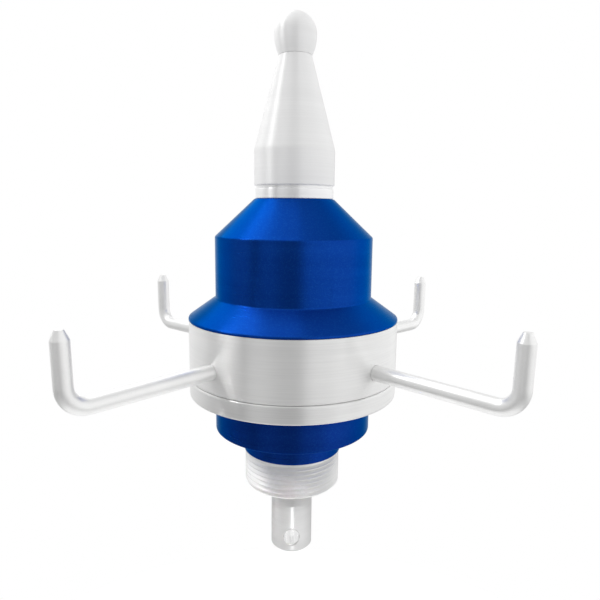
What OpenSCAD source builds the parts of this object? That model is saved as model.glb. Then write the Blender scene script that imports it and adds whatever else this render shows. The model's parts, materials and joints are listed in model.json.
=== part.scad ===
// Head of an early-streamer lightning rod: a stack of turned pieces clamped on one central
// conductor, with four bent electrodes on an insulated ring and a threaded stub for the mast.
// Millimetres, +Z up. The origin is on the axis, where the mast thread meets the lower body.

/* [Mast stub] */
// Major diameter of the pipe thread that screws into the mast
thread_d = 47.8; // [42:0.1:56]
// Length of the thread
thread_len = 18; // [12:0.5:30]
// Chamfer at the lower end of the thread
thread_chamfer = 1.5; // [0.5:0.1:3]
// Length of the plain spigot above the thread
stub_spigot_len = 10; // [5:0.5:12]

/* [Central rod] */
// Diameter of the earth pin below the thread
pin_d = 21; // [19:0.1:26]
// Length of the earth pin
pin_len = 36; // [25:0.5:60]
// Chamfer at the lower end of the pin
pin_chamfer = 1.2; // [0.4:0.1:3]
// Diameter of the bolt hole across the pin
cross_hole_d = 8; // [5:0.1:10]
// Height of that hole above the lower end of the pin
cross_hole_up = 8.5; // [7:0.1:15]
// Diameter of the rod inside the head
rod_d = 16; // [12:0.1:18]
// Length of the rod that the cone grips above the clamp nut
rod_grip = 20; // [10:0.5:24]
// Diameter of the stud that carries the tip
stud_d = 8; // [5:0.1:9]

/* [Lower body] */
// Diameter of the boss above the thread
boss_d = 49; // [46:0.1:60]
// Height of the boss
boss_h = 11.9; // [9:0.1:20]
// Wall of the boss round the spigot of the stub
boss_wall = 7.4; // [4:0.1:10]
// Diameter of the lower body
lower_body_d = 77; // [72:0.1:84]
// Height of the lower body above the boss
lower_body_h = 18.3; // [14:0.1:30]
// Floor of the lower body, above the top of the boss
floor_h = 5; // [3:0.1:8]
// Wall of the lower body
lower_wall = 7; // [5:0.1:9]
// Height of the spigot that centres the lower body in the flange
lower_spigot_h = 4; // [2:0.1:5]

/* [Base flange] */
// Height of the flange band
flange_h = 8.5; // [8:0.1:14]

/* [Electrode ring] */
// Diameter of the ring, the flange and the rim of the cap
ring_d = 102; // [98:0.1:120]
// Height from the top of the flange to the rim of the cap
ring_h = 28.4; // [27:0.1:40]
// Wall of the ring
ring_wall = 14; // [13:0.1:16]
// Open seam above and below the ring
seam_gap = 0.1; // [0.05:0.05:0.6]
// Rounding on both edges of the lower seam and under the flange
seam_round = 1; // [0.3:0.1:1.5]

/* [Electrodes] */
// Diameter of an electrode
electrode_d = 7; // [6:0.1:9]
// Height of the electrodes above the top of the flange, where they leave the ring
electrode_up = 10.2; // [9:0.1:14]
// Length from the ring to the middle of the upright leg
electrode_len = 64.5; // [40:0.1:100]
// Length of the upright leg from the middle of the long leg to the end
electrode_rise = 30; // [24:0.1:60]
// Bend radius at the middle of the rod
electrode_bend_r = 9; // [6:0.1:14]
// Droop of the whole electrode away from the ring, in degrees
electrode_droop = 1.1; // [0:0.1:3]
// Metal left in the ring behind the end of an electrode
electrode_floor = 3; // [1:0.1:6]
// Height of the chamfered end
electrode_nose_h = 3.8; // [1:0.1:6]
// Diameter of the flat on that end
electrode_nose_d = 3.4; // [1:0.1:5]

/* [Upper cap] */
// Height of the straight edge of the rim, between its roundings
cap_rim_h = 0.25; // [0.05:0.05:3]
// Height of the flare
cap_flare_h = 9.3; // [6:0.1:14]
// Diameter of the cap
cap_d = 76; // [72:0.1:86]
// Height of the straight side
cap_side_h = 29.2; // [20:0.1:50]
// Height of the sloping shoulder
cap_slope_h = 17.9; // [12:0.1:26]
// Diameter of the top face
cap_top_d = 38.1; // [32:0.1:44]
// Wall of the straight side
cap_wall = 4.5; // [3:0.1:6]
// Depth of the sloping roof, measured upright
cap_roof = 6; // [4:0.1:8]
// Depth of the plate that closes over the ring
cap_plate_h = 5; // [3:0.1:7]

/* [Collar, cone and tip] */
// Diameter of the collar
collar_d = 37.4; // [34:0.1:46]
// Height of the collar
collar_h = 6.1; // [4:0.1:12]
// Height of the relief turned in the collar, below the cone
collar_relief_h = 1.3; // [0.8:0.1:2.2]
// Depth of that relief
collar_relief = 0.5; // [0.2:0.1:1.5]
// Diameter of the skirt of the cone
cone_d = 38.4; // [35:0.1:46]
// Height of that skirt
cone_skirt_h = 16.5; // [14:0.1:30]
// Height of the taper
cone_taper_h = 42.6; // [30:0.1:80]
// Diameter of the neck between cone and tip
neck_d = 15.4; // [12:0.1:20]
// Largest diameter of the tip
tip_d = 19.8; // [17:0.1:30]
// Height from the neck to the largest diameter
tip_belly_h = 9; // [6:0.1:16]
// Height of the rounded nose
tip_nose_h = 10.5; // [10:0.1:24]
// Length of the stud in the tip
tip_socket = 9; // [6:0.1:14]

/* [Generator and insulator] */
// Air gap round the potted generator, inside the cap and the spigots of cap and flange
generator_gap = 4.3; // [2:0.1:8]
// Height of the generator
generator_h = 44; // [30:0.1:52]
// Height of the generator above the top of the flange
generator_up = 5; // [3:0.1:6]
// Wall of the insulating sleeve
insulator_wall = 3; // [2:0.1:5]
// Depth of the table that carries the generator
table_h = 4; // [2:0.1:6]
// Diameter of the foot of the sleeve
foot_d = 40; // [30:0.1:52]
// Depth of that foot
foot_h = 4; // [2:0.1:8]

/* [Fasteners] */
// Width across the flats of the rod nuts
nut_af = 24; // [22:0.1:27]
// Height of the rod nuts
nut_h = 8; // [5:0.1:10]
// Diameter of the washer under the clamp nut
clamp_washer_d = 29; // [24:0.1:33]
// Thickness of that washer
clamp_washer_h = 2.5; // [1:0.1:3]
// Diameter of the earth washer on the generator
earth_washer_d = 30; // [26:0.1:40]
// Thickness of that washer
earth_washer_h = 1.5; // [0.5:0.1:3]
// Diameter of the set screws under the electrodes
set_screw_d = 5; // [4:0.1:6]
// Diameter of the pickup screw
pickup_screw_d = 4; // [3:0.1:5]
// Length of that screw in the ring
pickup_screw_len = 6; // [4:0.1:8]
// Diameter of its head
pickup_head_d = 7; // [6:0.1:8]
// Height of its head
pickup_head_h = 2.5; // [1.5:0.1:3]
// Diameter of the lug on the lead
lug_d = 8.5; // [7.5:0.1:9]
// Thickness of the lug
lug_t = 0.8; // [0.5:0.1:1.2]
// Distance from the screw down to the lead
lug_drop = 6; // [5.5:0.1:7]
// Diameter of the lead
lead_d = 2; // [1:0.1:2.4]

/* [Seals] */
// Thickness of the ring gaskets
gasket_t = 1.5; // [0.8:0.1:2]
// Length of the gasket lips inside the ring
gasket_lip = 5; // [3:0.1:6]
// Metal outside the gaskets, at the rim
rim_land = 4; // [2:0.1:6]
// Wall of the spigots inside the gasket lips and the flange
spigot_wall = 2; // [1.2:0.1:3]
// Thickness of the round seals
seal_d = 2; // [1.2:0.1:2.2]

/* [Clearances] */
// Gap round each piece that fits in another
fit_gap = 0.1; // [0.05:0.01:0.2]
// Room round each round seal in its groove
seal_room = 0.1; // [0.05:0.01:0.3]
// Free room past the end of each spigot and screw
end_room = 1; // [0.3:0.1:1.5]
// Rounding on turned edges
edge_r = 0.5; // [0.2:0.1:0.8]

/* [Hidden] */
$fn = 96;
EDGE_STEPS = 3;      // flats that make up one rounded edge
ARC_STEPS = 16;      // flats that make up one arc of the tip
GROOVE_SHARE = 1.2;  // width of a seal groove, in seal thicknesses
HEX = 6;

// Finer rounding on the two rims of the upper seam
rim_ease = edge_r / 2;

// Heights, from the lower end upwards
z_stub_end = -thread_len;
z_pin_end = z_stub_end - pin_len;
z_floor = boss_h + floor_h;
z_flange = boss_h + lower_body_h;
z_ring = z_flange + flange_h;
z_cap = z_ring + ring_h;
z_flare = z_cap + rim_ease + cap_rim_h + edge_r;
z_side = z_flare + cap_flare_h;
z_slope = z_side + cap_side_h;
z_collar = z_slope + cap_slope_h;
z_cone = z_collar + collar_h;
z_taper = z_cone + cone_skirt_h;
z_neck = z_taper + cone_taper_h;
z_belly = z_neck + tip_belly_h;
z_nut_room = z_cone + clamp_washer_h + nut_h + 2 * end_room;
z_rod_end = z_nut_room + rod_grip;
z_stud_end = z_neck + tip_socket;
z_generator = z_ring + generator_up;
z_generator_top = z_generator + generator_h;
z_electrode = z_ring + electrode_up;
z_pickup = z_ring + ring_h / 2;
ring_low = z_ring + seam_gap;
ring_high = z_cap - seam_gap;

// Radii that pieces share
thread_r = thread_d / 2;
pin_r = pin_d / 2;
rod_r = rod_d / 2;
stud_r = stud_d / 2;
rod_bore_r = rod_r + fit_gap;
boss_r = boss_d / 2;
pocket_r = boss_r - boss_wall;
stub_spigot_r = pocket_r - fit_gap;
lower_r = lower_body_d / 2;
lower_cavity_r = lower_r - lower_wall;
lower_spigot_r = lower_cavity_r + spigot_wall;
ring_r = ring_d / 2;
ring_bore_r = ring_r - ring_wall;
electrode_r = electrode_d / 2;
electrode_socket = ring_wall - electrode_floor;
cap_r = cap_d / 2;
cap_cavity_r = cap_r - cap_wall;
cap_top_r = cap_top_d / 2;
collar_r = collar_d / 2;
cone_r = cone_d / 2;
neck_r = neck_d / 2;
nut_corner_r = nut_af / cos(180 / HEX) / 2;
nut_room_r = max(nut_corner_r, clamp_washer_d / 2) + end_room;
tip_r = tip_d / 2;
insulator_r = rod_bore_r + insulator_wall;

// Gasket lips line the bore of the ring, and the spigots of cap and flange fit inside them
lip_outer_r = ring_bore_r - fit_gap;
lip_inner_r = lip_outer_r - gasket_t;
spigot_r = lip_inner_r - fit_gap;
spigot_bore_r = spigot_r - spigot_wall;
generator_r = min(spigot_bore_r, cap_cavity_r) - generator_gap;
gasket_r = ring_r - rim_land;
gasket_recess = gasket_t - seam_gap;

// Middle radii of the round seals, and the depth and half width of their grooves
collar_seal_r = (rod_bore_r + collar_r) / 2;
body_seal_r = (lower_spigot_r + lower_r) / 2;
stub_seal_r = rod_r + (seal_d + seal_room) / 2;
groove_depth = seal_d + seal_room;
groove_half = seal_d * GROOVE_SHARE / 2;

ALUMINIUM = "silver";
POLISHED = "gainsboro";
BLUE = "mediumblue";
STEEL = "darkgray";
INSULATOR = "ivory";
RESIN = "darkslategray";
COPPER = "peru";
RUBBER = "dimgray";

function toward(from, to, distance) = from + (to - from) * distance / norm(to - from);
function blend(from, corner, to, t) =
    (1 - t) * (1 - t) * from + 2 * t * (1 - t) * corner + t * t * to;

// Rounds each corner of an outline that has a third number, the distance the rounding starts at
function eased(outline) = [
    for (i = [0 : len(outline) - 1])
        let (
            count = len(outline),
            spot = [for (k = [-1 : 1]) let (p = outline[(i + k + count) % count]) [p[0], p[1]]],
            reach = len(outline[i]) > 2 ? outline[i][2] : 0
        )
        each reach == 0
            ? [spot[1]]
            : [for (s = [0 : EDGE_STEPS]) blend(
                toward(spot[1], spot[0], reach), spot[1], toward(spot[1], spot[2], reach),
                s / EDGE_STEPS)]
];

// Turns an outline of [radius, height] or [radius, height, rounding] points about the axis
module turned(outline) {
    rotate_extrude() polygon(eased(outline));
}

// Point on an arc that is upright at the largest diameter of the tip
function arc_point(arc_r, turn) = [tip_r - arc_r * (1 - cos(turn)), z_belly + arc_r * sin(turn)];

module ring_shape(inner_r, outer_r, low, high, rounding = 0) {
    turned([
        [inner_r, low], [outer_r, low, rounding], [outer_r, high, rounding], [inner_r, high]
    ]);
}

module seal_ring(middle_r, height) {
    translate([0, 0, height]) rotate_extrude() translate([middle_r, 0]) circle(d = seal_d);
}

module rod_nut(height) {
    translate([0, 0, height]) difference() {
        cylinder(r = nut_corner_r, h = nut_h, $fn = HEX);
        translate([0, 0, -end_room]) cylinder(r = rod_bore_r, h = nut_h + 2 * end_room);
    }
}

// Frame of one electrode: its origin is on the face of the ring and +X runs out along the rod
module at_electrode(azimuth) {
    rotate([0, 0, azimuth]) translate([ring_r, 0, z_electrode])
        rotate([0, electrode_droop, 0]) children();
}

ELECTRODE_AZIMUTHS = [45, 135, 225, 315];

// Bulb whose belly and nose are two arcs that meet at its largest diameter
module strike_tip() {
    belly_drop = tip_r - neck_r;
    belly_arc = (tip_belly_h ^ 2 + belly_drop ^ 2) / (2 * belly_drop);
    nose_arc = (tip_nose_h ^ 2 + tip_r ^ 2) / (2 * tip_r);
    belly_turn = asin(tip_belly_h / belly_arc);
    nose_turn = tip_nose_h < tip_r ? 180 - asin(tip_nose_h / nose_arc) : asin(tip_nose_h / nose_arc);
    z_socket = z_neck + tip_socket + end_room;
    color(POLISHED) turned(concat(
        [[stud_r + fit_gap, z_neck]],
        [for (s = [0 : ARC_STEPS]) arc_point(belly_arc, belly_turn * (s / ARC_STEPS - 1))],
        [for (s = [1 : ARC_STEPS - 1]) arc_point(nose_arc, nose_turn * s / ARC_STEPS)],
        [[0, z_belly + tip_nose_h], [0, z_socket], [stud_r + fit_gap, z_socket]]
    ));
}

module upper_cone() {
    color(ALUMINIUM) turned([
        [nut_room_r, z_cone], [cone_r, z_cone, edge_r], [cone_r, z_taper, 2 * edge_r],
        [neck_r, z_neck, edge_r], [stud_r + fit_gap, z_neck],
        [stud_r + fit_gap, z_rod_end + end_room], [rod_bore_r, z_rod_end + end_room],
        [rod_bore_r, z_nut_room], [nut_room_r, z_nut_room]
    ]);
}

module cone_collar() {
    z_relief = z_cone - collar_relief_h;
    relief_r = collar_r - collar_relief;
    color(POLISHED) turned([
        [rod_bore_r, z_collar], [collar_seal_r - groove_half, z_collar],
        [collar_seal_r - groove_half, z_collar + groove_depth],
        [collar_seal_r + groove_half, z_collar + groove_depth],
        [collar_seal_r + groove_half, z_collar],
        [collar_r, z_collar, edge_r], [collar_r, z_relief, edge_r], [relief_r, z_relief],
        [relief_r, z_cone], [rod_bore_r, z_cone]
    ]);
}

module upper_cap() {
    // The roof follows the slope, one roof depth below it
    z_roof_foot = z_slope + cap_slope_h * cap_wall / (cap_r - cap_top_r) - cap_roof;
    z_roof = z_collar - cap_roof;
    z_plate = z_cap + cap_plate_h;
    z_seat = z_cap + gasket_recess;
    z_spigot = ring_high - gasket_lip;
    recess_r = gasket_r + fit_gap;
    color(BLUE) turned([
        [recess_r, z_cap], [ring_r, z_cap, rim_ease], [ring_r, z_flare, edge_r],
        [cap_r, z_side, edge_r], [cap_r, z_slope, edge_r], [cap_top_r, z_collar, edge_r],
        [rod_bore_r, z_collar], [rod_bore_r, z_roof], [cap_top_r, z_roof],
        [cap_cavity_r, z_roof_foot], [cap_cavity_r, z_plate], [spigot_bore_r, z_plate],
        [spigot_bore_r, z_spigot], [spigot_r, z_spigot], [spigot_r, z_seat], [recess_r, z_seat]
    ]);
}

module electrode_ring() {
    socket_r = electrode_r + fit_gap;
    color(ALUMINIUM) difference() {
        turned([
            [ring_bore_r, ring_low], [ring_r, ring_low, seam_round],
            [ring_r, ring_high, rim_ease], [ring_bore_r, ring_high]
        ]);
        for (azimuth = ELECTRODE_AZIMUTHS) at_electrode(azimuth) {
            translate([-electrode_socket, 0, 0]) rotate([0, 90, 0])
                cylinder(r = socket_r, h = 2 * electrode_socket);
            translate([-electrode_socket / 2, 0, -electrode_up - end_room])
                cylinder(d = set_screw_d + 2 * fit_gap, h = electrode_up + end_room);
        }
        pickup_flat();
    }
}

// Milled flat inside the ring where the lug lies, and the hole for its screw
pickup_flat_x = ring_bore_r + lug_t / 2;
module pickup_flat() {
    flat_low = z_pickup - lug_drop - lug_d / 2;
    flat_high = z_pickup + lug_d / 2 + end_room;
    flat_w = lug_d + 2 * end_room;
    cut_depth = ring_wall / 2;
    translate([pickup_flat_x - cut_depth, -flat_w / 2, flat_low])
        cube([cut_depth, flat_w, flat_high - flat_low]);
    translate([pickup_flat_x - cut_depth, 0, z_pickup]) rotate([0, 90, 0])
        cylinder(d = pickup_screw_d + 2 * fit_gap, h = cut_depth + pickup_screw_len + end_room);
}

// Round rod that runs out from the ring, turns up at a right angle and ends in a chamfered nose
module electrode(azimuth) {
    bend_x = electrode_len - electrode_bend_r;
    leg_h = electrode_rise - electrode_bend_r - electrode_nose_h;
    color(ALUMINIUM) at_electrode(azimuth) union() {
        translate([bend_x, 0, 0]) rotate([0, -90, 0])
            cylinder(r = electrode_r, h = bend_x + electrode_socket);
        translate([bend_x, 0, electrode_bend_r]) rotate([90, 0, 0]) rotate([0, 0, -90])
            rotate_extrude(angle = 90) translate([electrode_bend_r, 0]) circle(r = electrode_r);
        translate([electrode_len, 0, electrode_bend_r]) {
            cylinder(r = electrode_r, h = leg_h);
            translate([0, 0, leg_h])
                cylinder(r1 = electrode_r, r2 = electrode_nose_d / 2, h = electrode_nose_h);
        }
    }
}

module base_flange() {
    z_web = z_flange + lower_spigot_h + end_room;
    z_seat = z_ring - gasket_recess;
    z_spigot = ring_low + gasket_lip;
    recess_r = gasket_r + fit_gap;
    socket_r = lower_spigot_r + fit_gap;
    color(ALUMINIUM) turned([
        [socket_r, z_flange], [ring_r, z_flange, seam_round], [ring_r, z_ring, seam_round],
        [recess_r, z_ring], [recess_r, z_seat], [spigot_r, z_seat], [spigot_r, z_spigot],
        [spigot_bore_r, z_spigot], [spigot_bore_r, z_web], [socket_r, z_web]
    ]);
}

module lower_body() {
    pocket_h = stub_spigot_len + end_room;
    z_spigot = z_flange + lower_spigot_h;
    color(BLUE) turned([
        [pocket_r, 0], [boss_r, 0, edge_r], [boss_r, boss_h], [lower_r, boss_h, edge_r],
        [lower_r, z_flange], [body_seal_r + groove_half, z_flange],
        [body_seal_r + groove_half, z_flange - groove_depth],
        [body_seal_r - groove_half, z_flange - groove_depth],
        [body_seal_r - groove_half, z_flange], [lower_spigot_r, z_flange],
        [lower_spigot_r, z_spigot], [lower_cavity_r, z_spigot], [lower_cavity_r, z_floor],
        [rod_bore_r, z_floor], [rod_bore_r, pocket_h], [pocket_r, pocket_h]
    ]);
}

module mast_stub() {
    groove_z = z_stub_end / 2;
    color(POLISHED) turned([
        [rod_bore_r, z_stub_end], [thread_r - thread_chamfer, z_stub_end],
        [thread_r, z_stub_end + thread_chamfer], [thread_r, 0], [stub_spigot_r, 0],
        [stub_spigot_r, stub_spigot_len, edge_r], [rod_bore_r, stub_spigot_len],
        [rod_bore_r, groove_z + groove_half], [rod_r + groove_depth, groove_z + groove_half],
        [rod_r + groove_depth, groove_z - groove_half], [rod_bore_r, groove_z - groove_half]
    ]);
}

module central_rod() {
    color(ALUMINIUM) difference() {
        turned([
            [0, z_pin_end], [pin_r - pin_chamfer, z_pin_end], [pin_r, z_pin_end + pin_chamfer],
            [pin_r, z_stub_end], [rod_r, z_stub_end], [rod_r, z_rod_end, edge_r],
            [stud_r, z_rod_end], [stud_r, z_stud_end, edge_r], [0, z_stud_end]
        ]);
        translate([0, 0, z_pin_end + cross_hole_up]) rotate([90, 0, 0])
            cylinder(d = cross_hole_d, h = 2 * pin_d, center = true);
    }
}

module rod_insulator() {
    z_table = z_generator - table_h;
    color(INSULATOR) turned([
        [rod_bore_r, z_floor], [foot_d / 2, z_floor], [foot_d / 2, z_floor + foot_h],
        [insulator_r, z_floor + foot_h], [insulator_r, z_table], [generator_r, z_table],
        [generator_r, z_generator], [insulator_r, z_generator], [insulator_r, z_generator_top],
        [rod_bore_r, z_generator_top]
    ]);
}

module impulse_generator() {
    color(RESIN)
        ring_shape(insulator_r + fit_gap, generator_r, z_generator, z_generator_top, edge_r);
}

module earth_washer() {
    color(COPPER) ring_shape(
        rod_bore_r, earth_washer_d / 2, z_generator_top, z_generator_top + earth_washer_h);
}

module generator_nut() {
    color(STEEL) rod_nut(z_generator_top + earth_washer_h);
}

module ring_gasket_upper() {
    color(RUBBER) turned([
        [lip_inner_r, ring_high - gasket_lip], [lip_outer_r, ring_high - gasket_lip],
        [lip_outer_r, ring_high], [gasket_r, ring_high], [gasket_r, ring_high + gasket_t],
        [lip_inner_r, ring_high + gasket_t]
    ]);
}

module ring_gasket_lower() {
    color(RUBBER) turned([
        [lip_inner_r, ring_low - gasket_t], [gasket_r, ring_low - gasket_t], [gasket_r, ring_low],
        [lip_outer_r, ring_low], [lip_outer_r, ring_low + gasket_lip],
        [lip_inner_r, ring_low + gasket_lip]
    ]);
}

module electrode_set_screws() {
    screw_top = -electrode_r - fit_gap;
    screw_len = electrode_up + screw_top - seam_gap - end_room / 2;
    color(STEEL) for (azimuth = ELECTRODE_AZIMUTHS) at_electrode(azimuth)
        translate([-electrode_socket / 2, 0, screw_top - screw_len])
            cylinder(d = set_screw_d, h = screw_len);
}

// Flat lug under the screw, with the lead running inwards to the side of the generator
module pickup_lead() {
    lug_x = pickup_flat_x - lug_t;
    lead_z = z_pickup - lug_drop;
    tail_w = lug_d / 2;
    color(COPPER) {
        difference() {
            union() {
                translate([lug_x, 0, z_pickup]) rotate([0, 90, 0]) cylinder(d = lug_d, h = lug_t);
                translate([lug_x, -tail_w / 2, lead_z - lead_d / 2])
                    cube([lug_t, tail_w, lug_drop]);
            }
            translate([lug_x - lug_t, 0, z_pickup]) rotate([0, 90, 0])
                cylinder(d = pickup_screw_d + 2 * fit_gap, h = 3 * lug_t);
        }
        translate([generator_r, 0, lead_z]) rotate([0, 90, 0])
            cylinder(d = lead_d, h = lug_x - generator_r);
    }
}

module pickup_screw() {
    head_x = pickup_flat_x - lug_t - pickup_head_h;
    color(STEEL) translate([head_x, 0, z_pickup]) rotate([0, 90, 0]) {
        cylinder(d = pickup_head_d, h = pickup_head_h);
        cylinder(d = pickup_screw_d, h = pickup_head_h + lug_t + pickup_screw_len);
    }
}

module clamp_washer() {
    color(STEEL) ring_shape(rod_bore_r, clamp_washer_d / 2, z_cone, z_cone + clamp_washer_h);
}

module clamp_nut() {
    color(STEEL) rod_nut(z_cone + clamp_washer_h);
}

module collar_seal() {
    color(RUBBER) seal_ring(collar_seal_r, z_collar + groove_depth / 2);
}

module body_seal() {
    color(RUBBER) seal_ring(body_seal_r, z_flange - groove_depth / 2);
}

module stub_seal() {
    color(RUBBER) seal_ring(stub_seal_r, z_stub_end / 2);
}

strike_tip();
upper_cone();
cone_collar();
upper_cap();
electrode_ring();
electrode(225);  // electrode_front_left
electrode(315);  // electrode_front_right
electrode(135);  // electrode_rear_left
electrode(45);  // electrode_rear_right
base_flange();
lower_body();
mast_stub();
central_rod();
rod_insulator();
impulse_generator();
earth_washer();
generator_nut();
ring_gasket_upper();
ring_gasket_lower();
electrode_set_screws();
pickup_lead();
pickup_screw();
clamp_washer();
clamp_nut();
collar_seal();
body_seal();
stub_seal();
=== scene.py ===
import json
import math

import bpy
from mathutils import Matrix, Vector


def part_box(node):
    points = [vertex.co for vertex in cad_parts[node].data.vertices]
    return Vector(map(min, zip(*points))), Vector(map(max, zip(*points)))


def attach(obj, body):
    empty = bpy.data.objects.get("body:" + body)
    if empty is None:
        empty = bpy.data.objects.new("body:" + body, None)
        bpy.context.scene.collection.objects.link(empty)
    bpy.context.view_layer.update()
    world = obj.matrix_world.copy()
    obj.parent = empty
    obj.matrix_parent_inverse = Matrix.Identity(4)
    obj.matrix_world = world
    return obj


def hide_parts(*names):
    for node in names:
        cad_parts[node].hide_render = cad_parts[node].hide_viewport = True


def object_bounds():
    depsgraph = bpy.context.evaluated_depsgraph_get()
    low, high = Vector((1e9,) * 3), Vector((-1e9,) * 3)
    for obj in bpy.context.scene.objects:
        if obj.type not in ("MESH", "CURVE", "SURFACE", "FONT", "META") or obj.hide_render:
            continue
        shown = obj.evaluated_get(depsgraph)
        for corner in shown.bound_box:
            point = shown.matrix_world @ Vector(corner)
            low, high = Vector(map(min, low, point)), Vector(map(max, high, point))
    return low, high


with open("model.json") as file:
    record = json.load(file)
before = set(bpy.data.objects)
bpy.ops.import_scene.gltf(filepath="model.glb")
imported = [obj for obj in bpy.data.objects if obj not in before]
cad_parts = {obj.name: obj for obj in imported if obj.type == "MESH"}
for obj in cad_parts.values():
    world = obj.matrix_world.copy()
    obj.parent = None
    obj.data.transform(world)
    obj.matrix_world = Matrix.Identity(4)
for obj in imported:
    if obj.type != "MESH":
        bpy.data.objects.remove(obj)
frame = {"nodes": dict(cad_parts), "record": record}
cad_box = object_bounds()

MM = 0.001


def grey(level):
    """A grey of this level."""
    return (level,) * 3


# Camera, in the frame of the part: where it stands, how it is turned, its lens, and where its view starts
CAMERA_PLACE = Vector((-2.86, -274.6, 119.65)) * MM
CAMERA_TURN = math.radians(-1.278)
CAMERA_PITCH = math.radians(9.147)
CAMERA_ROLL = math.radians(0.604)
CAMERA_LENS = 33.78
CAMERA_SENSOR = 36.0
CAMERA_NEAR = 0.01

# Points closer than this are joined, and edges sharper than these angles, in degrees, stay sharp
MERGE_GAP = 0.002 * MM
THREAD_SHARP = 32
ROD_SHARP = 30

# Pipe thread on the mast stub: pitch, depth and angle of the V groove, the easing of its crests,
# the plain length above the first groove, and the steps in each turn
THREAD_PITCH = 2.309 * MM
THREAD_DEPTH = 1.479 * MM
THREAD_ANGLE = math.radians(55)
THREAD_CREST_EASE = 0.12 * MM
THREAD_RUN_OUT = 0.3 * MM
THREAD_STEPS = 96

# Countersink cone at both mouths of the hole across the earth pin: how far it runs inwards and outwards
# from the place where it is as wide as the hole, and the steps round it
SINK_INWARD = 1.2 * MM
SINK_OUTWARD = 1.8 * MM
SINK_STEPS = 64

# Reamed wall of that hole: the width of its edge, its share of the rod's roughness, and its lighter shade, a
# painted highlight for the light that the smooth wall reflects
BORE_EDGE = 0.05 * MM
REAMED_SHARE = 0.25
BORE_PAINTED_HIGHLIGHT = grey(0.95)

# Part of a noise's values that is stretched over nought to one
NOISE_SPAN = (0.3, 0.7)

# Broad bands against the fine marks of turned metal, along X, Y and the axis, and clouds against grain
BAND_SCALE = (0.6, 0.6, 0.08)
CLOUD_SCALE = 0.03

# Share of the fine marks in the tone of turned metal, and of the grain in the tone of satin metal
MARKS_SHARE = 0.6
GRAIN_SHARE = 0.4

# Quarter turn that stretches a highlight along the axis, where the marks go round it
ALONG_AXIS = 0.25

# Turned metals: shades, roughness, fineness, streaks and depth of the marks, stretch of the highlights,
# haze as the part that isn't metallic, and the mount of a reamed bore
TURNED_METALS = {
    "turned_aluminium": dict(
        dark=grey(0.87), light=grey(0.91), rough=(0.49, 0.55),
        fineness=3500, streaks=20, depth=0.0003 * MM, stretch=0.92, haze=0.46),
    "polished_aluminium": dict(
        dark=grey(0.92), light=grey(0.97), rough=(0.30, 0.38),
        fineness=3000, streaks=15, depth=0.0003 * MM, stretch=1.0, haze=0.32),
    "brushed_aluminium": dict(
        dark=(0.85, 0.85, 0.845), light=(0.94, 0.94, 0.935), rough=(0.36, 0.43),
        fineness=2600, streaks=30, depth=0.0005 * MM, stretch=0.97, haze=0.12),
    # Painted shade: a darker copy of the brushed aluminium, for the flange
    "flange_aluminium": dict(
        dark=(0.83, 0.83, 0.825), light=(0.93, 0.93, 0.925), rough=(0.32, 0.38),
        fineness=2600, streaks=30, depth=0.0005 * MM, stretch=0.97, haze=0.02),
    "rod_aluminium": dict(
        dark=grey(0.52), light=grey(0.60), rough=(0.30, 0.38),
        fineness=3000, streaks=20, depth=0.0003 * MM, stretch=1.0, haze=0.45, bore="cross_hole"),
    "thread_aluminium": dict(
        dark=(0.74, 0.74, 0.735), light=(0.84, 0.84, 0.835), rough=(0.30, 0.38),
        fineness=3000, streaks=40, depth=0.0005 * MM, stretch=0.7, haze=0.36),
}

# Satin metals: shades, roughness, fineness and depth of the grain, and haze
SATIN_METALS = {
    "satin_aluminium": dict(
        dark=(0.82, 0.82, 0.815), light=(0.90, 0.90, 0.895), rough=(0.34, 0.42),
        fineness=2500, depth=0.001 * MM, haze=0.28),
    "copper": dict(
        dark=(0.62, 0.30, 0.17), light=(0.80, 0.46, 0.30), rough=(0.25, 0.4),
        fineness=2000, depth=0.002 * MM, haze=0.0),
    "fastener_steel": dict(
        dark=grey(0.42), light=grey(0.58), rough=(0.25, 0.4),
        fineness=2500, depth=0.002 * MM, haze=0.0),
}

# Moulded and cast materials: shades, roughness, fineness and depth of the grain
MOULDED_MATERIALS = {
    "insulator_plastic": dict(
        dark=(0.78, 0.75, 0.66), light=(0.88, 0.85, 0.77), rough=(0.45, 0.6), fineness=1500, depth=0.01 * MM),
    "potting_resin": dict(
        dark=(0.02, 0.03, 0.03), light=(0.05, 0.06, 0.06), rough=(0.35, 0.5), fineness=800, depth=0.02 * MM),
    "seal_rubber": dict(
        dark=grey(0.015), light=grey(0.04), rough=(0.55, 0.75), fineness=2000, depth=0.01 * MM),
}

# Blue films: shades of each, then what they share: roughness, stretch of the highlights, tint at a low
# angle, depth of the unevenness, colour and share of the sparkle, and the span of flakes that sparkle
BLUE_FILMS = {
    "blue_anodised": dict(dark=(0.003, 0.040, 0.280), light=(0.004, 0.050, 0.322)),
    # Painted shade: a darker copy of the blue film, for the lower body
    "deep_blue_anodised": dict(dark=(0.004, 0.032, 0.242), light=(0.005, 0.040, 0.278)),
}
BLUE_ROUGH = (0.27, 0.32)
BLUE_STRETCH = 0.8
BLUE_EDGE_TINT = (0.38, 0.62, 0.82, 1.0)
BLUE_UNEVENNESS = 0.04 * MM
SPARKLE_COLOUR = (0.05, 0.38, 1.0)
SPARKLE_SHARE = 0.05
SPARKLE_SPAN = (0.65, 1.0)

# Nodes with a finish of their own in place of their slot's: darker copies of their slot's finish, which are
# painted shade
NODE_FINISH = {"base_flange": "flange_aluminium", "lower_body": "deep_blue_anodised"}

# Pale floor well below the head, as a mast would hold it
FLOOR_DROP = 200 * MM
FLOOR_RADIUS = 0.30
FLOOR_SIDES = 128
FLOOR_DARK = grey(0.92)
FLOOR_LIGHT = grey(0.93)
FLOOR_ROUGHNESS = 0.8

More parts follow.
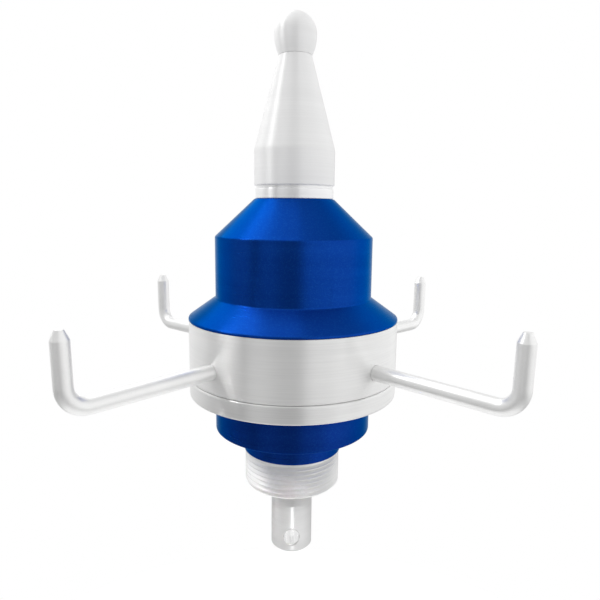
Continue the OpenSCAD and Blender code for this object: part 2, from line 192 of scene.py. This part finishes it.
# Places that lights face: the middle of the head, the ring's lower edge halfway from its left to its
# front, the left of the thread, and the end of the earth pin
HEAD_MIDDLE = (cad_box[0] + cad_box[1]) / 2
ring_low, ring_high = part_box("electrode_ring")
HALFWAY_ROUND = 0.7
RING_LEFT = Vector((-HALFWAY_ROUND * ring_high.x, -HALFWAY_ROUND * ring_high.x, ring_low.z))
THREAD_LEFT = Vector((-16, -18, -14)) * MM
PIN_END = Vector((0, 0, -53)) * MM

# Distance of a light from the place it faces, nearer for the pin, and the degrees a panel shines over
PANEL_REACH = 0.9
PIN_REACH = 0.35
PANEL_OPENING = 180

# Level of the room for matt faces and for the eye
ROOM_LEVEL = 1.0

# Levels of the room that gloss mirrors. The walls and the foot of the walls go by azimuth from the
# viewer's side in degrees, left negative. The ceiling is lighter at its left and darker at its right.
ROOM_WALLS = [
    (-150, 0.86), (-134, 0.86), (-110, 0.76), (-96, 0.64), (-76, 0.62), (-66, 0.58), (-60, 0.40),
    (-54, 0.28), (-48, 0.58), (-40, 0.65), (-30, 0.62), (-20, 0.50), (-10, 0.42), (4, 0.42),
    (10, 0.57), (15, 0.92), (24, 1.08), (60, 1.10), (100, 1.12), (135, 1.05), (160, 0.80), (180, 0.95),
]
ROOM_LOW_WALLS = [
    (-150, 0.60), (-120, 0.50), (-96, 0.26), (-76, 0.13), (-48, 0.10), (-30, 0.10), (-10, 0.06),
    (10, 0.07), (32, 0.16), (44, 0.42), (54, 0.80), (64, 0.90), (100, 0.74), (135, 0.60), (180, 0.95),
]
ROOM_OVERHEAD = 0.82
ROOM_OVERHEAD_LEFT = 1.0
ROOM_OVERHEAD_RIGHT = 0.55
ROOM_GROUND = 0.45

# Where one level gives way to the next: by the rise of a direction for the foot of the walls, the ground
# and the ceiling, and by its way to the right for the two sides of the ceiling
LOW_WALLS_RISE = (-0.36, -0.27)
GROUND_RISE = (-0.62, -0.50)
OVERHEAD_RISE = (0.55, 0.80)
OVERHEAD_LEFT_SPAN = (-0.7, 0.1)
OVERHEAD_RIGHT_SPAN = (0.2, 0.8)


def only(piece):
    """Goes to object mode with this piece selected alone, or with nothing selected."""
    if bpy.context.mode != "OBJECT":
        bpy.ops.object.mode_set(mode="OBJECT")
    bpy.ops.object.select_all(action="DESELECT")
    if piece is not None:
        piece.select_set(True)
        bpy.context.view_layer.objects.active = piece


def mend(piece, close_ends):
    """Joins points that meet, closes open ends where asked, and turns every face outwards."""
    only(piece)
    bpy.ops.object.mode_set(mode="EDIT")
    bpy.ops.mesh.select_all(action="SELECT")
    bpy.ops.mesh.remove_doubles(threshold=MERGE_GAP)
    if close_ends:
        bpy.ops.mesh.select_all(action="DESELECT")
        bpy.ops.mesh.select_mode(type="EDGE")
        bpy.ops.mesh.select_non_manifold()
        bpy.ops.mesh.fill()
        bpy.ops.mesh.select_all(action="SELECT")
    bpy.ops.mesh.normals_make_consistent(inside=False)
    bpy.ops.object.mode_set(mode="OBJECT")


def copy_of_node(node, name):
    """A copy of a solid's mesh as a piece of its own, with its triangles joined up."""
    source = frame["nodes"][node]
    piece = bpy.data.objects.new(name, source.data.copy())
    bpy.context.scene.collection.objects.link(piece)
    only(piece)
    bpy.ops.mesh.customdata_custom_splitnormals_clear()
    mend(piece, close_ends=False)
    return piece


def cut(piece, tool):
    """Cuts the tool's shape out of the piece and removes the tool."""
    only(piece)
    cutter = piece.modifiers.new("cut", "BOOLEAN")
    cutter.operation = "DIFFERENCE"
    cutter.solver = "EXACT"
    cutter.object = tool
    bpy.ops.object.modifier_apply(modifier=cutter.name)
    bpy.data.objects.remove(tool, do_unlink=True)


def smooth(piece, angle):
    """Shades the piece smooth, apart from edges sharper than the angle in degrees."""
    only(piece)
    bpy.ops.object.shade_smooth_by_angle(angle=math.radians(angle))


def thread_tool(crest_r, top, turns):
    """Coiled V tool that cuts a right-hand thread, from its top turn downwards."""
    flank = THREAD_DEPTH * math.tan(THREAD_ANGLE / 2)
    half_root = (THREAD_PITCH / 2 - flank) / 2
    half_mouth = half_root + flank + THREAD_CREST_EASE / 2
    eased_mouth = half_mouth - THREAD_CREST_EASE
    outline = [
        (crest_r + THREAD_DEPTH / 2, half_mouth),
        (crest_r, half_mouth),
        (crest_r - THREAD_CREST_EASE, eased_mouth),
        (crest_r - THREAD_DEPTH, half_root),
    ]
    outline += [(radius, -height) for radius, height in reversed(outline)]
    bottom = top - turns * THREAD_PITCH
    only(None)
    bpy.ops.mesh.primitive_circle_add(vertices=len(outline), radius=THREAD_PITCH)
    tool = bpy.context.object
    for point, (radius, height) in zip(tool.data.vertices, outline):
        point.co = (radius, 0, bottom + height)
    coil = tool.modifiers.new("coil", "SCREW")
    coil.axis = "Z"
    coil.angle = math.tau
    coil.screw_offset = THREAD_PITCH
    coil.iterations = turns
    coil.steps = THREAD_STEPS
    coil.render_steps = THREAD_STEPS
    bpy.ops.object.modifier_apply(modifier=coil.name)
    mend(tool, close_ends=True)
    return tool


def threaded_stub():
    """Mast stub with its pipe thread cut as a true helix."""
    piece = copy_of_node("mast_stub", "threaded_stub")
    low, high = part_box("mast_stub")
    turns = math.ceil((THREAD_RUN_OUT - low.z) / THREAD_PITCH) + 1
    cut(piece, thread_tool(high.x, -THREAD_RUN_OUT - THREAD_PITCH / 2, turns))
    smooth(piece, THREAD_SHARP)
    return piece


def countersink(mouth_y, hole_z, hole_r):
    """Cone that eases one mouth of the cross hole."""
    outward = math.copysign(1, mouth_y)
    only(None)
    bpy.ops.mesh.primitive_cone_add(
        vertices=SINK_STEPS,
        radius1=hole_r - SINK_INWARD,
        radius2=hole_r + SINK_OUTWARD,
        depth=SINK_INWARD + SINK_OUTWARD,
        location=(0, mouth_y + outward * (SINK_OUTWARD - SINK_INWARD) / 2, hole_z),
        rotation=(-outward * math.pi / 2, 0, 0))
    tool = bpy.context.object
    bpy.ops.object.transform_apply(location=True, rotation=True, scale=True)
    return tool


def mount(name):
    """The record's mount of this name."""
    return next(m for m in frame["record"]["mounts"] if m["name"] == name)


def mount_bore(name):
    """Height and radius of a bore that the record states."""
    return mount(name)["pos_m"][2], mount(name)["dims"]["r_mm"] * MM


def drilled_rod():
    """Central rod whose cross hole has eased mouths."""
    piece = copy_of_node("central_rod", "drilled_rod")
    hole_z, hole_r = mount_bore("cross_hole")
    pin_r = mount("earth_pin")["dims"]["r_mm"] * MM
    for side in (-1, 1):
        mouth = side * math.sqrt(pin_r ** 2 - hole_r ** 2)
        cut(piece, countersink(mouth, hole_z, hole_r))
    smooth(piece, ROD_SHARP)
    return piece


def put(tree, kind, settings, inputs):
    """Adds a node, sets it up, and fills each named or numbered input with a value or a link."""
    node = tree.nodes.new(kind)
    for name, value in settings.items():
        setattr(node, name, value)
    for name, value in inputs.items():
        if isinstance(value, bpy.types.NodeSocket):
            tree.links.new(value, node.inputs[name])
        else:
            node.inputs[name].default_value = value
    return node


def math_node(tree, operation, first, second):
    """One operation on two numbers."""
    return put(tree, "ShaderNodeMath", {"operation": operation}, {0: first, 1: second}).outputs[0]


def vector_node(tree, operation, first, second):
    """One operation on two vectors."""
    return put(tree, "ShaderNodeVectorMath", {"operation": operation}, {0: first, 1: second}).outputs[0]


def length_of(tree, vector):
    """Length of a vector."""
    return put(tree, "ShaderNodeVectorMath", {"operation": "LENGTH"}, {0: vector}).outputs["Value"]


def object_place(tree):
    """Place on the object, in its own frame."""
    return put(tree, "ShaderNodeTexCoord", {}, {}).outputs["Object"]


def spread(tree, value, low, high, to_low, to_high):
    """Maps one span of a value onto another, and holds it at both ends."""
    inputs = {"Value": value, "From Min": low, "From Max": high, "To Min": to_low, "To Max": to_high}
    return put(tree, "ShaderNodeMapRange", {"clamp": True}, inputs).outputs["Result"]


def noise(tree, **inputs):
    """Noise that has the named inputs, stretched over nought to one."""
    texture = put(tree, "ShaderNodeTexNoise", {}, inputs)
    return spread(tree, texture.outputs["Fac"], *NOISE_SPAN, 0.0, 1.0)


def shared(tree, first, second, share):
    """Sum of two numbers, the first with this share and the second with the rest."""
    return math_node(tree, "ADD", math_node(tree, "MULTIPLY", first, share),
                     math_node(tree, "MULTIPLY", second, 1.0 - share))


def shade_between(tree, share, first, second):
    """Mix of two colours, from the first at share nought to the second at one."""
    node = put(tree, "ShaderNodeMix", {"data_type": "RGBA"}, {"Factor": share})
    colours = [s for s in node.inputs if s.type == "RGBA"]
    for socket, colour in zip(colours, (first, second)):
        if isinstance(colour, bpy.types.NodeSocket):
            tree.links.new(colour, socket)
        else:
            socket.default_value = (*colour, 1)
    return next(s for s in node.outputs if s.type == "RGBA")


def new_group(name, inputs, outputs):
    """An empty node group with number inputs and outputs."""
    tree = bpy.data.node_groups.new(name, "ShaderNodeTree")
    for label in inputs:
        tree.interface.new_socket(label, in_out="INPUT", socket_type="NodeSocketFloat")
    for label in outputs:
        tree.interface.new_socket(label, in_out="OUTPUT", socket_type="NodeSocketFloat")
    entry = tree.nodes.new("NodeGroupInput")
    leave = tree.nodes.new("NodeGroupOutput")
    return tree, entry.outputs, leave.inputs


def make_turning_marks():
    """Fine streaks round the axis, as a lathe leaves them: they follow height and radius."""
    tree, given, made = new_group("turning_marks", ["Fineness", "Streaks"], ["Marks", "Bands"])
    parts = put(tree, "ShaderNodeSeparateXYZ", {}, {0: object_place(tree)}).outputs
    flat = put(tree, "ShaderNodeCombineXYZ", {}, {0: parts[0], 1: parts[1]}).outputs[0]
    along = math_node(tree, "ADD", parts[2], length_of(tree, flat))
    lines = put(tree, "ShaderNodeCombineXYZ", {}, {
        0: math_node(tree, "MULTIPLY", parts[0], given["Streaks"]),
        1: math_node(tree, "MULTIPLY", parts[1], given["Streaks"]),
        2: math_node(tree, "MULTIPLY", along, given["Fineness"])}).outputs[0]
    marks = noise(tree, Vector=lines, Scale=1.0, Detail=3.0, Roughness=0.6)
    tree.links.new(marks, made["Marks"])
    broad = vector_node(tree, "MULTIPLY", lines, BAND_SCALE)
    tree.links.new(noise(tree, Vector=broad, Scale=1.0, Detail=2.0), made["Bands"])
    return tree


def make_grain():
    """Even fine grain with a broader cloud, as on a blasted, cast or moulded face."""
    tree, given, made = new_group("grain", ["Fineness"], ["Grain", "Cloud"])
    place = object_place(tree)
    tree.links.new(noise(tree, Vector=place, Scale=given["Fineness"], Detail=2.0), made["Grain"])
    cloud_scale = math_node(tree, "MULTIPLY", given["Fineness"], CLOUD_SCALE)
    tree.links.new(noise(tree, Vector=place, Scale=cloud_scale, Detail=3.0), made["Cloud"])
    return tree


def make_flakes():
    """Small metal flakes under a clear film, each with a brightness of its own."""
    tree, given, made = new_group("flakes", ["Fineness", "Unevenness"], ["Sparkle", "Tilt"])
    place = object_place(tree)
    cells = put(tree, "ShaderNodeTexVoronoi", {}, {"Vector": place, "Scale": given["Fineness"]})
    parts = put(tree, "ShaderNodeSeparateColor", {}, {0: cells.outputs["Color"]}).outputs
    tree.links.new(spread(tree, parts[0], *SPARKLE_SPAN, 0.0, 1.0), made["Sparkle"])
    uneven = put(tree, "ShaderNodeTexNoise", {}, {"Vector": place, "Scale": given["Unevenness"]})
    tree.links.new(uneven.outputs["Fac"], made["Tilt"])
    return tree


TURNING_MARKS = make_turning_marks()
GRAIN = make_grain()
FLAKES = make_flakes()


def new_material(name):
    """A material with only its output and a Principled shader."""
    material = bpy.data.materials.new(name)
    material.use_nodes = True
    tree = material.node_tree
    tree.nodes.clear()
    shader = tree.nodes.new("ShaderNodeBsdfPrincipled")
    leave = tree.nodes.new("ShaderNodeOutputMaterial")
    tree.links.new(shader.outputs[0], leave.inputs[0])
    return material, tree, shader


def effect(tree, group, **values):
    """Outputs of a node group that has these values."""
    node = tree.nodes.new("ShaderNodeGroup")
    node.node_tree = group
    for name, value in values.items():
        node.inputs[name].default_value = value
    return node.outputs


def relief(tree, shader, height, depth):
    """Bump of a given depth, in metres, on the shader."""
    bump = put(tree, "ShaderNodeBump", {}, {"Strength": 1.0, "Distance": depth, "Height": height})
    tree.links.new(bump.outputs[0], shader.inputs["Normal"])


def stretch_highlights(tree, shader, stretch):
    """Stretches highlights along the axis, as fine marks round it do."""
    shader.inputs["Anisotropic"].default_value = stretch
    shader.inputs["Anisotropic Rotation"].default_value = ALONG_AXIS
    tangent = put(tree, "ShaderNodeTangent", {"direction_type": "RADIAL", "axis": "Z"}, {})
    tree.links.new(tangent.outputs[0], shader.inputs["Tangent"])


def inside_bore(tree, height, radius):
    """One on the wall of a bore along Y, given by its height and radius, and nought elsewhere."""
    from_bore = vector_node(tree, "SUBTRACT", object_place(tree), (0, 0, height))
    across = vector_node(tree, "MULTIPLY", from_bore, (1, 0, 1))
    return spread(tree, length_of(tree, across), radius + BORE_EDGE, radius + 2 * BORE_EDGE, 1.0, 0.0)


def turned_metal(name, dark, light, rough, fineness, streaks, depth, stretch, haze, bore=None):
    """Metal with lathe marks round the axis, which stretch its highlights along the axis.

    A bore along Y, given by its mount, is reamed smoother than the rest, and its wall is painted lighter as a
    painted highlight."""
    material, tree, shader = new_material(name)
    marks = effect(tree, TURNING_MARKS, Fineness=fineness, Streaks=streaks)
    tone = shared(tree, marks["Marks"], marks["Bands"], MARKS_SHARE)
    shade = shade_between(tree, tone, dark, light)
    roughness = spread(tree, tone, 0.0, 1.0, rough[1], rough[0])
    shader.inputs["Metallic"].default_value = 1.0 - haze
    if bore is not None:
        inside = inside_bore(tree, *mount_bore(bore))
        # Painted highlight: the wall of the bore is painted lighter than the rest of the rod
        shade = shade_between(tree, inside, shade, BORE_PAINTED_HIGHLIGHT)
        share = spread(tree, inside, 0.0, 1.0, 1.0, REAMED_SHARE)
        roughness = math_node(tree, "MULTIPLY", roughness, share)
        tree.links.new(spread(tree, inside, 0.0, 1.0, 1.0 - haze, 1.0), shader.inputs["Metallic"])
    tree.links.new(shade, shader.inputs["Base Color"])
    tree.links.new(roughness, shader.inputs["Roughness"])
    relief(tree, shader, marks["Marks"], depth)
    stretch_highlights(tree, shader, stretch)
    return material


def satin_metal(name, dark, light, rough, fineness, depth, haze):
    """Metal with an even satin grain."""
    material, tree, shader = new_material(name)
    grain = effect(tree, GRAIN, Fineness=fineness)
    tone = shared(tree, grain["Grain"], grain["Cloud"], GRAIN_SHARE)
    tree.links.new(shade_between(tree, tone, dark, light), shader.inputs["Base Color"])
    tree.links.new(spread(tree, tone, 0.0, 1.0, rough[1], rough[0]), shader.inputs["Roughness"])
    relief(tree, shader, grain["Grain"], depth)
    shader.inputs["Metallic"].default_value = 1.0 - haze
    return material


def blue_anodised(name, dark, light):
    """Blue anodised aluminium: turned metal under a dyed film, with fine sparkle."""
    material, tree, shader = new_material(name)
    marks = effect(tree, TURNING_MARKS, Fineness=2600.0, Streaks=25.0)
    flakes = effect(tree, FLAKES, Fineness=2600.0, Unevenness=1400.0)
    base = shade_between(tree, marks["Bands"], dark, light)
    sparkle = math_node(tree, "MULTIPLY", flakes["Sparkle"], SPARKLE_SHARE)
    tree.links.new(shade_between(tree, sparkle, base, SPARKLE_COLOUR), shader.inputs["Base Color"])
    roughness = spread(tree, marks["Marks"], 0.0, 1.0, BLUE_ROUGH[1], BLUE_ROUGH[0])
    tree.links.new(roughness, shader.inputs["Roughness"])
    relief(tree, shader, flakes["Tilt"], BLUE_UNEVENNESS)
    shader.inputs["Metallic"].default_value = 1.0
    shader.inputs["Specular Tint"].default_value = BLUE_EDGE_TINT
    stretch_highlights(tree, shader, BLUE_STRETCH)
    return material


def moulded(name, dark, light, rough, fineness, depth):
    """Rubber, resin or plastic with a soft grain."""
    material, tree, shader = new_material(name)
    grain = effect(tree, GRAIN, Fineness=fineness)
    tree.links.new(shade_between(tree, grain["Cloud"], dark, light), shader.inputs["Base Color"])
    tree.links.new(spread(tree, grain["Grain"], 0.0, 1.0, rough[0], rough[1]), shader.inputs["Roughness"])
    relief(tree, shader, grain["Grain"], depth)
    return material


def make_finishes():
    """A material for each slot of the record and for each node with a finish of its own."""
    tables = [
        (turned_metal, TURNED_METALS),
        (satin_metal, SATIN_METALS),
        (moulded, MOULDED_MATERIALS),
        (blue_anodised, BLUE_FILMS),
    ]
    return {name: make(name, **values) for make, table in tables for name, values in table.items()}


def dress(finishes):
    """Gives each solid the finish of its slot, or its own darker copy of it, which is painted shade."""
    for part in frame["record"]["subparts"]:
        solid = frame["nodes"][part["node"]]
        solid.data.materials.clear()
        finish = NODE_FINISH.get(part["node"], part["material_slot"])
        solid.data.materials.append(finishes[finish])


def stand_for(piece, node, slot, finishes):
    """Shows the piece in place of a solid, with the finish of a slot."""
    piece.data.materials.clear()
    piece.data.materials.append(finishes[slot])
    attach(piece, "root")
    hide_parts(node)


def make_floor():
    """Pale floor below the head, part of the stage."""
    only(None)
    bpy.ops.mesh.primitive_circle_add(
        vertices=FLOOR_SIDES, radius=FLOOR_RADIUS, fill_type="NGON",
        location=(0, 0, cad_box[0].z - FLOOR_DROP))
    floor = bpy.context.object
    floor.name = "floor"
    material, tree, shader = new_material("floor_paper")
    grain = effect(tree, GRAIN, Fineness=300.0)
    shade = shade_between(tree, grain["Cloud"], FLOOR_DARK, FLOOR_LIGHT)
    tree.links.new(shade, shader.inputs["Base Color"])
    shader.inputs["Roughness"].default_value = FLOOR_ROUGHNESS
    floor.data.materials.append(material)


def make_camera():
    """Camera at the viewing angle of the photograph, with plain tones."""
    lens = bpy.data.cameras.new("camera")
    lens.lens = CAMERA_LENS
    lens.sensor_width = CAMERA_SENSOR
    lens.clip_start = CAMERA_NEAR
    camera = bpy.data.objects.new("camera", lens)
    bpy.context.scene.collection.objects.link(camera)
    turn = Matrix.Rotation(CAMERA_TURN, 4, "Z")
    pitch = Matrix.Rotation(math.pi / 2 - CAMERA_PITCH, 4, "X")
    roll = Matrix.Rotation(CAMERA_ROLL, 4, "Z")
    camera.matrix_world = Matrix.Translation(CAMERA_PLACE) @ turn @ pitch @ roll
    bpy.context.scene.camera = camera
    bpy.context.scene.view_settings.view_transform = "Standard"


def light_panel(name, azimuth, elevation, width, height, power,
                faces=HEAD_MIDDLE, reach=PANEL_REACH, opening=PANEL_OPENING):
    """Panel of light that faces one place. Azimuth 0 is the viewer's side, and 90 the right."""
    side, up = math.radians(azimuth), math.radians(elevation)
    outward = Vector((math.sin(side) * math.cos(up), -math.cos(side) * math.cos(up), math.sin(up)))
    lamp = bpy.data.lights.new(name, "AREA")
    lamp.shape = "RECTANGLE"
    lamp.size = width
    lamp.size_y = height
    lamp.energy = power
    lamp.spread = math.radians(opening)
    panel = bpy.data.objects.new(name, lamp)
    bpy.context.scene.collection.objects.link(panel)
    facing = outward.to_track_quat("Z", "Y").to_matrix().to_4x4()
    panel.matrix_world = Matrix.Translation(faces + outward * reach) @ facing
    panel.visible_camera = False


def make_lights():
    """Soft panels at the left, behind at the left and overhead, and three small narrow lights."""
    light_panel("key_left", azimuth=-88, elevation=42, width=0.16, height=0.16, power=0.85)
    light_panel("back_left", azimuth=-139, elevation=47, width=0.80, height=0.80, power=1.9)
    light_panel("top_left", azimuth=-98, elevation=74, width=0.70, height=0.70, power=0.82)
    light_panel("ring_spot", azimuth=-96, elevation=44, width=0.16, height=0.03, power=0.0030,
                faces=RING_LEFT, opening=7)
    light_panel("thread_spot", azimuth=-90, elevation=18, width=0.06, height=0.03, power=0.0030,
                faces=THREAD_LEFT, opening=3.5)
    light_panel("pin_spot", azimuth=4, elevation=44, width=0.016, height=0.008, power=0.0023,
                faces=PIN_END, reach=PIN_REACH, opening=6.8)


def wall_levels(tree, turn, levels):
    """Level of the walls round one turn, from stops given by azimuth in degrees."""
    ramp = put(tree, "ShaderNodeValToRGB", {}, {"Fac": turn})
    stops = ramp.color_ramp.elements
    stops.remove(stops[-1])
    stops[0].position = 0.0
    stops[0].color = (*grey(levels[-1][1]), 1)
    for degrees, level in levels:
        stops.new(degrees / 360 + 0.5).color = (*grey(level), 1)
    return ramp.outputs["Color"]


def make_room():
    """Pale room: white to the eye and to matt faces, with darker and lighter walls for gloss to mirror."""
    world = bpy.data.worlds.new("room")
    bpy.context.scene.world = world
    world.use_nodes = True
    tree = world.node_tree
    tree.nodes.clear()
    heading = put(tree, "ShaderNodeTexCoord", {}, {}).outputs["Generated"]
    right, back, rise = put(tree, "ShaderNodeSeparateXYZ", {}, {0: heading}).outputs
    front = math_node(tree, "MULTIPLY", back, -1.0)
    azimuth = math_node(tree, "ARCTAN2", right, front)
    turn = spread(tree, azimuth, -math.pi, math.pi, 0.0, 1.0)
    low = spread(tree, rise, *LOW_WALLS_RISE, 1.0, 0.0)
    walls = shade_between(
        tree, low, wall_levels(tree, turn, ROOM_WALLS), wall_levels(tree, turn, ROOM_LOW_WALLS))
    ground = spread(tree, rise, *GROUND_RISE, 1.0, 0.0)
    walls = shade_between(tree, ground, walls, grey(ROOM_GROUND))
    overhead = spread(tree, right, *OVERHEAD_LEFT_SPAN, ROOM_OVERHEAD_LEFT, ROOM_OVERHEAD)
    overhead_right = spread(tree, right, *OVERHEAD_RIGHT_SPAN, 0.0, 1.0)
    overhead = shade_between(tree, overhead_right, overhead, grey(ROOM_OVERHEAD_RIGHT))
    above = spread(tree, rise, *OVERHEAD_RISE, 0.0, 1.0)
    walls = shade_between(tree, above, walls, overhead)
    rays = put(tree, "ShaderNodeLightPath", {}, {}).outputs
    level = shade_between(tree, rays["Is Glossy Ray"], grey(ROOM_LEVEL), walls)
    room = put(tree, "ShaderNodeBackground", {}, {"Color": level, "Strength": 1.0})
    leave = tree.nodes.new("ShaderNodeOutputWorld")
    tree.links.new(room.outputs[0], leave.inputs[0])


finishes = make_finishes()
dress(finishes)
stand_for(threaded_stub(), "mast_stub", "thread_aluminium", finishes)
stand_for(drilled_rod(), "central_rod", "rod_aluminium", finishes)
make_floor()
make_camera()
make_lights()
make_room()
